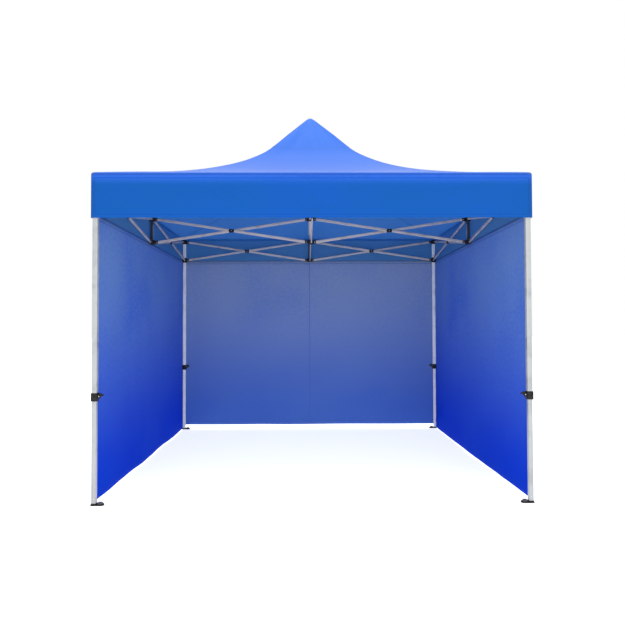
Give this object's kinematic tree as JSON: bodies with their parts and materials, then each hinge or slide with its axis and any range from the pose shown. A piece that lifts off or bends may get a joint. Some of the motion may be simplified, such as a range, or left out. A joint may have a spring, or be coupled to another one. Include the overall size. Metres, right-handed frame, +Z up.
{
  "type": "pop up canopy",
  "caption": "Folding square shelter: peaked fabric roof with valance on a scissor frame with telescopic legs, fabric walls on the sides and back.",
  "frame": {"origin": "on the ground below the centre of the square", "axes": "+Z up along the mast, -Y out of the open front, +X to the right seen from the front"},
  "size_m": [2.965, 2.965, 3.13],
  "materials": {
    "frame_steel": "light grey powder coat, satin",
    "leg_steel": "light grey powder coat, satin",
    "black_plastic": "moulded black nylon, fine grain",
    "roof_fabric": "coated polyester, plain weave, royal blue",
    "wall_fabric": "coated polyester, plain weave, royal blue"
  },
  "bodies": {
    "canopy_cover": {"centre_top_hub": "black_plastic", "roof_cover": "roof_fabric", "left_wall": "wall_fabric", "right_wall": "wall_fabric", "back_wall": "wall_fabric"},
    "front_inner_bar_to_top_hub": {"front_inner_bar_to_top_hub": "frame_steel"},
    "front_inner_bar_to_bottom_hub": {"front_inner_bar_to_bottom_hub": "frame_steel"},
    "front_bottom_bracket": {"front_bottom_bracket": "black_plastic"},
    "front_top_bracket": {"front_top_bracket": "black_plastic"},
    "bottom_hub": {"centre_bottom_hub": "black_plastic", "mast_tube": "frame_steel"},
    "front_left_bar_to_slider": {"front_left_bar_to_slider": "frame_steel"},
    "front_left_bar_to_corner": {"front_left_bar_to_corner": "frame_steel"},
    "front_left_leg": {"front_left_upper_leg": "leg_steel"},
    "front_left_lower_leg": {"front_left_lower_leg": "leg_steel"},
    "front_left_lock_lever": {"front_left_lock_lever": "black_plastic"},
    "front_left_slider": {"front_left_slider": "black_plastic"},
    "front_left_release_pin": {"front_left_release_pin": "black_plastic"},
    "front_right_bar_to_slider": {"front_right_bar_to_slider": "frame_steel"},
    "front_right_bar_to_corner": {"front_right_bar_to_corner": "frame_steel"},
    "front_right_leg": {"front_right_upper_leg": "leg_steel"},
    "front_right_lower_leg": {"front_right_lower_leg": "leg_steel"},
    "front_right_lock_lever": {"front_right_lock_lever": "black_plastic"},
    "front_right_slider": {"front_right_slider": "black_plastic"},
    "front_right_release_pin": {"front_right_release_pin": "black_plastic"},
    "back_inner_bar_to_top_hub": {"back_inner_bar_to_top_hub": "frame_steel"},
    "back_inner_bar_to_bottom_hub": {"back_inner_bar_to_bottom_hub": "frame_steel"},
    "back_bottom_bracket": {"back_bottom_bracket": "black_plastic"},
    "back_top_bracket": {"back_top_bracket": "black_plastic"},
    "back_left_bar_to_slider": {"back_left_bar_to_slider": "frame_steel"},
    "back_left_bar_to_corner": {"back_left_bar_to_corner": "frame_steel"},
    "back_left_leg": {"back_left_upper_leg": "leg_steel"},
    "back_left_lower_leg": {"back_left_lower_leg": "leg_steel"},
    "back_left_lock_lever": {"back_left_lock_lever": "black_plastic"},
    "back_left_slider": {"back_left_slider": "black_plastic"},
    "back_left_release_pin": {"back_left_release_pin": "black_plastic"},
    "back_right_bar_to_slider": {"back_right_bar_to_slider": "frame_steel"},
    "back_right_bar_to_corner": {"back_right_bar_to_corner": "frame_steel"},
    "back_right_leg": {"back_right_upper_leg": "leg_steel"},
    "back_right_lower_leg": {"back_right_lower_leg": "leg_steel"},
    "back_right_lock_lever": {"back_right_lock_lever": "black_plastic"},
    "back_right_slider": {"back_right_slider": "black_plastic"},
    "back_right_release_pin": {"back_right_release_pin": "black_plastic"},
    "left_inner_bar_to_top_hub": {"left_inner_bar_to_top_hub": "frame_steel"},
    "left_inner_bar_to_bottom_hub": {"left_inner_bar_to_bottom_hub": "frame_steel"},
    "left_bottom_bracket": {"left_bottom_bracket": "black_plastic"},
    "left_top_bracket": {"left_top_bracket": "black_plastic"},
    "left_front_bar_to_slider": {"left_front_bar_to_slider": "frame_steel"},
    "left_front_bar_to_corner": {"left_front_bar_to_corner": "frame_steel"},
    "left_back_bar_to_slider": {"left_back_bar_to_slider": "frame_steel"},
    "left_back_bar_to_corner": {"left_back_bar_to_corner": "frame_steel"},
    "right_inner_bar_to_top_hub": {"right_inner_bar_to_top_hub": "frame_steel"},
    "right_inner_bar_to_bottom_hub": {"right_inner_bar_to_bottom_hub": "frame_steel"},
    "right_bottom_bracket": {"right_bottom_bracket": "black_plastic"},
    "right_top_bracket": {"right_top_bracket": "black_plastic"},
    "right_front_bar_to_slider": {"right_front_bar_to_slider": "frame_steel"},
    "right_front_bar_to_corner": {"right_front_bar_to_corner": "frame_steel"},
    "right_back_bar_to_slider": {"right_back_bar_to_slider": "frame_steel"},
    "right_back_bar_to_corner": {"right_back_bar_to_corner": "frame_steel"},
    "mast_tip": {"mast_tip": "black_plastic"}
  },
  "joints": [
    {"name": "frame_fold", "type": "hinge", "parent": "canopy_cover", "child": "front_inner_bar_to_top_hub", "pos_m": [0, -0.04, 2.175], "axis": [1, 0, 0], "range_deg": [0, 78.5]},
    {"name": "front_inner_crossing", "type": "hinge", "parent": "front_inner_bar_to_top_hub", "child": "front_inner_bar_to_bottom_hub", "pos_m": [0, -0.72875, 2.07], "axis": [1, 0, 0], "range_deg": [-157, 0]},
    {"name": "front_bottom_bracket_pivot", "type": "hinge", "parent": "front_inner_bar_to_top_hub", "child": "front_bottom_bracket", "pos_m": [0, -1.4175, 1.965], "axis": [1, 0, 0], "range_deg": [-78.5, 0]},
    {"name": "front_top_bracket_pivot", "type": "hinge", "parent": "front_inner_bar_to_bottom_hub", "child": "front_top_bracket", "pos_m": [0, -1.4175, 2.175], "axis": [1, 0, 0], "range_deg": [0, 78.5]},
    {"name": "bottom_hub_pivot", "type": "hinge", "parent": "front_inner_bar_to_bottom_hub", "child": "bottom_hub", "pos_m": [0, -0.04, 1.965], "axis": [1, 0, 0], "range_deg": [0, 78.5]},
    {"name": "front_left_slider_bar_pivot", "type": "hinge", "parent": "front_top_bracket", "child": "front_left_bar_to_slider", "pos_m": [-0.04, -1.4575, 2.175], "axis": [0, -1, 0], "range_deg": [0, 78.5]},
    {"name": "front_left_crossing", "type": "hinge", "parent": "front_left_bar_to_slider", "child": "front_left_bar_to_corner", "pos_m": [-0.72875, -1.4575, 2.07], "axis": [0, -1, 0], "range_deg": [-157, 0]},
    {"name": "front_left_corner_pivot", "type": "hinge", "parent": "front_left_bar_to_corner", "child": "front_left_leg", "pos_m": [-1.4175, -1.4575, 2.175], "axis": [0, -1, 0], "range_deg": [0, 78.5]},
    {"name": "front_left_slider_pivot", "type": "hinge", "parent": "front_left_bar_to_slider", "child": "front_left_slider", "pos_m": [-1.4175, -1.4575, 1.965], "axis": [0, -1, 0], "range_deg": [-78.5, 0]},
    {"name": "front_left_leg_extension", "type": "slide", "parent": "front_left_leg", "child": "front_left_lower_leg", "axis": [0, 0, 1], "range_m": [0, 0.6]},
    {"name": "front_left_lock_lever_press", "type": "hinge", "parent": "front_left_leg", "child": "front_left_lock_lever", "pos_m": [-1.4285, -1.4575, 0.722], "axis": [0, 1, 0], "range_deg": [0, 28], "stiffness_Nm_per_rad": 0.4},
    {"name": "front_left_release_pin_pull", "type": "slide", "parent": "front_left_slider", "child": "front_left_release_pin", "axis": [1, 0, 0], "range_m": [0, 0.006], "stiffness_N_per_m": 400},
    {"name": "front_right_slider_bar_pivot", "type": "hinge", "parent": "front_top_bracket", "child": "front_right_bar_to_slider", "pos_m": [0.04, -1.4575, 2.175], "axis": [0, 1, 0], "range_deg": [0, 78.5]},
    {"name": "front_right_crossing", "type": "hinge", "parent": "front_right_bar_to_slider", "child": "front_right_bar_to_corner", "pos_m": [0.72875, -1.4575, 2.07], "axis": [0, 1, 0], "range_deg": [-157, 0]},
    {"name": "front_right_corner_pivot", "type": "hinge", "parent": "front_right_bar_to_corner", "child": "front_right_leg", "pos_m": [1.4175, -1.4575, 2.175], "axis": [0, 1, 0], "range_deg": [0, 78.5]},
    {"name": "front_right_slider_pivot", "type": "hinge", "parent": "front_right_bar_to_slider", "child": "front_right_slider", "pos_m": [1.4175, -1.4575, 1.965], "axis": [0, 1, 0], "range_deg": [-78.5, 0]},
    {"name": "front_right_leg_extension", "type": "slide", "parent": "front_right_leg", "child": "front_right_lower_leg", "axis": [0, 0, 1], "range_m": [0, 0.6]},
    {"name": "front_right_lock_lever_press", "type": "hinge", "parent": "front_right_leg", "child": "front_right_lock_lever", "pos_m": [1.4285, -1.4575, 0.722], "axis": [0, -1, 0], "range_deg": [0, 28], "stiffness_Nm_per_rad": 0.4},
    {"name": "front_right_release_pin_pull", "type": "slide", "parent": "front_right_slider", "child": "front_right_release_pin", "axis": [-1, 0, 0], "range_m": [0, 0.006], "stiffness_N_per_m": 400},
    {"name": "back_inner_bar_turn", "type": "hinge", "parent": "canopy_cover", "child": "back_inner_bar_to_top_hub", "pos_m": [0, 0.04, 2.175], "axis": [-1, 0, 0], "range_deg": [0, 78.5]},
    {"name": "back_inner_crossing", "type": "hinge", "parent": "back_inner_bar_to_top_hub", "child": "back_inner_bar_to_bottom_hub", "pos_m": [0, 0.72875, 2.07], "axis": [-1, 0, 0], "range_deg": [-157, 0]},
    {"name": "back_bottom_bracket_pivot", "type": "hinge", "parent": "back_inner_bar_to_top_hub", "child": "back_bottom_bracket", "pos_m": [0, 1.4175, 1.965], "axis": [-1, 0, 0], "range_deg": [-78.5, 0]},
    {"name": "back_top_bracket_pivot", "type": "hinge", "parent": "back_inner_bar_to_bottom_hub", "child": "back_top_bracket", "pos_m": [0, 1.4175, 2.175], "axis": [-1, 0, 0], "range_deg": [0, 78.5]},
    {"name": "back_left_slider_bar_pivot", "type": "hinge", "parent": "back_top_bracket", "child": "back_left_bar_to_slider", "pos_m": [-0.04, 1.4575, 2.175], "axis": [0, -1, 0], "range_deg": [0, 78.5]},
    {"name": "back_left_crossing", "type": "hinge", "parent": "back_left_bar_to_slider", "child": "back_left_bar_to_corner", "pos_m": [-0.72875, 1.4575, 2.07], "axis": [0, -1, 0], "range_deg": [-157, 0]},
    {"name": "back_left_corner_pivot", "type": "hinge", "parent": "back_left_bar_to_corner", "child": "back_left_leg", "pos_m": [-1.4175, 1.4575, 2.175], "axis": [0, -1, 0], "range_deg": [0, 78.5]},
    {"name": "back_left_slider_pivot", "type": "hinge", "parent": "back_left_bar_to_slider", "child": "back_left_slider", "pos_m": [-1.4175, 1.4575, 1.965], "axis": [0, -1, 0], "range_deg": [-78.5, 0]},
    {"name": "back_left_leg_extension", "type": "slide", "parent": "back_left_leg", "child": "back_left_lower_leg", "axis": [0, 0, 1], "range_m": [0, 0.6]},
    {"name": "back_left_lock_lever_press", "type": "hinge", "parent": "back_left_leg", "child": "back_left_lock_lever", "pos_m": [-1.4285, 1.4575, 0.722], "axis": [0, 1, 0], "range_deg": [0, 28], "stiffness_Nm_per_rad": 0.4},
    {"name": "back_left_release_pin_pull", "type": "slide", "parent": "back_left_slider", "child": "back_left_release_pin", "axis": [1, 0, 0], "range_m": [0, 0.006], "stiffness_N_per_m": 400},
    {"name": "back_right_slider_bar_pivot", "type": "hinge", "parent": "back_top_bracket", "child": "back_right_bar_to_slider", "pos_m": [0.04, 1.4575, 2.175], "axis": [0, 1, 0], "range_deg": [0, 78.5]},
    {"name": "back_right_crossing", "type": "hinge", "parent": "back_right_bar_to_slider", "child": "back_right_bar_to_corner", "pos_m": [0.72875, 1.4575, 2.07], "axis": [0, 1, 0], "range_deg": [-157, 0]},
    {"name": "back_right_corner_pivot", "type": "hinge", "parent": "back_right_bar_to_corner", "child": "back_right_leg", "pos_m": [1.4175, 1.4575, 2.175], "axis": [0, 1, 0], "range_deg": [0, 78.5]},
    {"name": "back_right_slider_pivot", "type": "hinge", "parent": "back_right_bar_to_slider", "child": "back_right_slider", "pos_m": [1.4175, 1.4575, 1.965], "axis": [0, 1, 0], "range_deg": [-78.5, 0]},
    {"name": "back_right_leg_extension", "type": "slide", "parent": "back_right_leg", "child": "back_right_lower_leg", "axis": [0, 0, 1], "range_m": [0, 0.6]},
    {"name": "back_right_lock_lever_press", "type": "hinge", "parent": "back_right_leg", "child": "back_right_lock_lever", "pos_m": [1.4285, 1.4575, 0.722], "axis": [0, -1, 0], "range_deg": [0, 28], "stiffness_Nm_per_rad": 0.4},
    {"name": "back_right_release_pin_pull", "type": "slide", "parent": "back_right_slider", "child": "back_right_release_pin", "axis": [-1, 0, 0], "range_m": [0, 0.006], "stiffness_N_per_m": 400},
    {"name": "left_inner_bar_turn", "type": "hinge", "parent": "canopy_cover", "child": "left_inner_bar_to_top_hub", "pos_m": [-0.04, 0, 2.175], "axis": [0, -1, 0], "range_deg": [0, 78.5]},
    {"name": "left_inner_crossing", "type": "hinge", "parent": "left_inner_bar_to_top_hub", "child": "left_inner_bar_to_bottom_hub", "pos_m": [-0.72875, 0, 2.07], "axis": [0, -1, 0], "range_deg": [-157, 0]},
    {"name": "left_bottom_bracket_pivot", "type": "hinge", "parent": "left_inner_bar_to_top_hub", "child": "left_bottom_bracket", "pos_m": [-1.4175, 0, 1.965], "axis": [0, -1, 0], "range_deg": [-78.5, 0]},
    {"name": "left_top_bracket_pivot", "type": "hinge", "parent": "left_inner_bar_to_bottom_hub", "child": "left_top_bracket", "pos_m": [-1.4175, 0, 2.175], "axis": [0, -1, 0], "range_deg": [0, 78.5]},
    {"name": "left_front_slider_bar_pivot", "type": "hinge", "parent": "left_top_bracket", "child": "left_front_bar_to_slider", "pos_m": [-1.4575, -0.04, 2.175], "axis": [1, 0, 0], "range_deg": [0, 78.5]},
    {"name": "left_front_crossing", "type": "hinge", "parent": "left_front_bar_to_slider", "child": "left_front_bar_to_corner", "pos_m": [-1.4575, -0.72875, 2.07], "axis": [1, 0, 0], "range_deg": [-157, 0]},
    {"name": "left_back_slider_bar_pivot", "type": "hinge", "parent": "left_top_bracket", "child": "left_back_bar_to_slider", "pos_m": [-1.4575, 0.04, 2.175], "axis": [-1, 0, 0], "range_deg": [0, 78.5]},
    {"name": "left_back_crossing", "type": "hinge", "parent": "left_back_bar_to_slider", "child": "left_back_bar_to_corner", "pos_m": [-1.4575, 0.72875, 2.07], "axis": [-1, 0, 0], "range_deg": [-157, 0]},
    {"name": "right_inner_bar_turn", "type": "hinge", "parent": "canopy_cover", "child": "right_inner_bar_to_top_hub", "pos_m": [0.04, 0, 2.175], "axis": [0, 1, 0], "range_deg": [0, 78.5]},
    {"name": "right_inner_crossing", "type": "hinge", "parent": "right_inner_bar_to_top_hub", "child": "right_inner_bar_to_bottom_hub", "pos_m": [0.72875, 0, 2.07], "axis": [0, 1, 0], "range_deg": [-157, 0]},
    {"name": "right_bottom_bracket_pivot", "type": "hinge", "parent": "right_inner_bar_to_top_hub", "child": "right_bottom_bracket", "pos_m": [1.4175, 0, 1.965], "axis": [0, 1, 0], "range_deg": [-78.5, 0]},
    {"name": "right_top_bracket_pivot", "type": "hinge", "parent": "right_inner_bar_to_bottom_hub", "child": "right_top_bracket", "pos_m": [1.4175, 0, 2.175], "axis": [0, 1, 0], "range_deg": [0, 78.5]},
    {"name": "right_front_slider_bar_pivot", "type": "hinge", "parent": "right_top_bracket", "child": "right_front_bar_to_slider", "pos_m": [1.4575, -0.04, 2.175], "axis": [1, 0, 0], "range_deg": [0, 78.5]},
    {"name": "right_front_crossing", "type": "hinge", "parent": "right_front_bar_to_slider", "child": "right_front_bar_to_corner", "pos_m": [1.4575, -0.72875, 2.07], "axis": [1, 0, 0], "range_deg": [-157, 0]},
    {"name": "right_back_slider_bar_pivot", "type": "hinge", "parent": "right_top_bracket", "child": "right_back_bar_to_slider", "pos_m": [1.4575, 0.04, 2.175], "axis": [-1, 0, 0], "range_deg": [0, 78.5]},
    {"name": "right_back_crossing", "type": "hinge", "parent": "right_back_bar_to_slider", "child": "right_back_bar_to_corner", "pos_m": [1.4575, 0.72875, 2.07], "axis": [-1, 0, 0], "range_deg": [-157, 0]},
    {"name": "mast_tip_spring", "type": "slide", "parent": "bottom_hub", "child": "mast_tip", "axis": [0, 0, 1], "range_m": [-0.1, 0], "stiffness_N_per_m": 300}
  ],
  "couplings": [
    {"joint": "front_inner_crossing", "follows": "frame_fold", "ratio": -2},
    {"joint": "front_bottom_bracket_pivot", "follows": "frame_fold", "ratio": -1},
    {"joint": "front_top_bracket_pivot", "follows": "frame_fold", "ratio": 1},
    {"joint": "bottom_hub_pivot", "follows": "frame_fold", "ratio": 1},
    {"joint": "front_left_slider_bar_pivot", "follows": "frame_fold", "ratio": 1},
    {"joint": "front_left_crossing", "follows": "frame_fold", "ratio": -2},
    {"joint": "front_left_corner_pivot", "follows": "frame_fold", "ratio": 1},
    {"joint": "front_left_slider_pivot", "follows": "frame_fold", "ratio": -1},
    {"joint": "front_right_slider_bar_pivot", "follows": "frame_fold", "ratio": 1},
    {"joint": "front_right_crossing", "follows": "frame_fold", "ratio": -2},
    {"joint": "front_right_corner_pivot", "follows": "frame_fold", "ratio": 1},
    {"joint": "front_right_slider_pivot", "follows": "frame_fold", "ratio": -1},
    {"joint": "back_inner_bar_turn", "follows": "frame_fold", "ratio": 1},
    {"joint": "back_inner_crossing", "follows": "frame_fold", "ratio": -2},
    {"joint": "back_bottom_bracket_pivot", "follows": "frame_fold", "ratio": -1},
    {"joint": "back_top_bracket_pivot", "follows": "frame_fold", "ratio": 1},
    {"joint": "back_left_slider_bar_pivot", "follows": "frame_fold", "ratio": 1},
    {"joint": "back_left_crossing", "follows": "frame_fold", "ratio": -2},
    {"joint": "back_left_corner_pivot", "follows": "frame_fold", "ratio": 1},
    {"joint": "back_left_slider_pivot", "follows": "frame_fold", "ratio": -1},
    {"joint": "back_right_slider_bar_pivot", "follows": "frame_fold", "ratio": 1},
    {"joint": "back_right_crossing", "follows": "frame_fold", "ratio": -2},
    {"joint": "back_right_corner_pivot", "follows": "frame_fold", "ratio": 1},
    {"joint": "back_right_slider_pivot", "follows": "frame_fold", "ratio": -1},
    {"joint": "left_inner_bar_turn", "follows": "frame_fold", "ratio": 1},
    {"joint": "left_inner_crossing", "follows": "frame_fold", "ratio": -2},
    {"joint": "left_bottom_bracket_pivot", "follows": "frame_fold", "ratio": -1},
    {"joint": "left_top_bracket_pivot", "follows": "frame_fold", "ratio": 1},
    {"joint": "left_front_slider_bar_pivot", "follows": "frame_fold", "ratio": 1},
    {"joint": "left_front_crossing", "follows": "frame_fold", "ratio": -2},
    {"joint": "left_back_slider_bar_pivot", "follows": "frame_fold", "ratio": 1},
    {"joint": "left_back_crossing", "follows": "frame_fold", "ratio": -2},
    {"joint": "right_inner_bar_turn", "follows": "frame_fold", "ratio": 1},
    {"joint": "right_inner_crossing", "follows": "frame_fold", "ratio": -2},
    {"joint": "right_bottom_bracket_pivot", "follows": "frame_fold", "ratio": -1},
    {"joint": "right_top_bracket_pivot", "follows": "frame_fold", "ratio": 1},
    {"joint": "right_front_slider_bar_pivot", "follows": "frame_fold", "ratio": 1},
    {"joint": "right_front_crossing", "follows": "frame_fold", "ratio": -2},
    {"joint": "right_back_slider_bar_pivot", "follows": "frame_fold", "ratio": 1},
    {"joint": "right_back_crossing", "follows": "frame_fold", "ratio": -2}
  ]
}
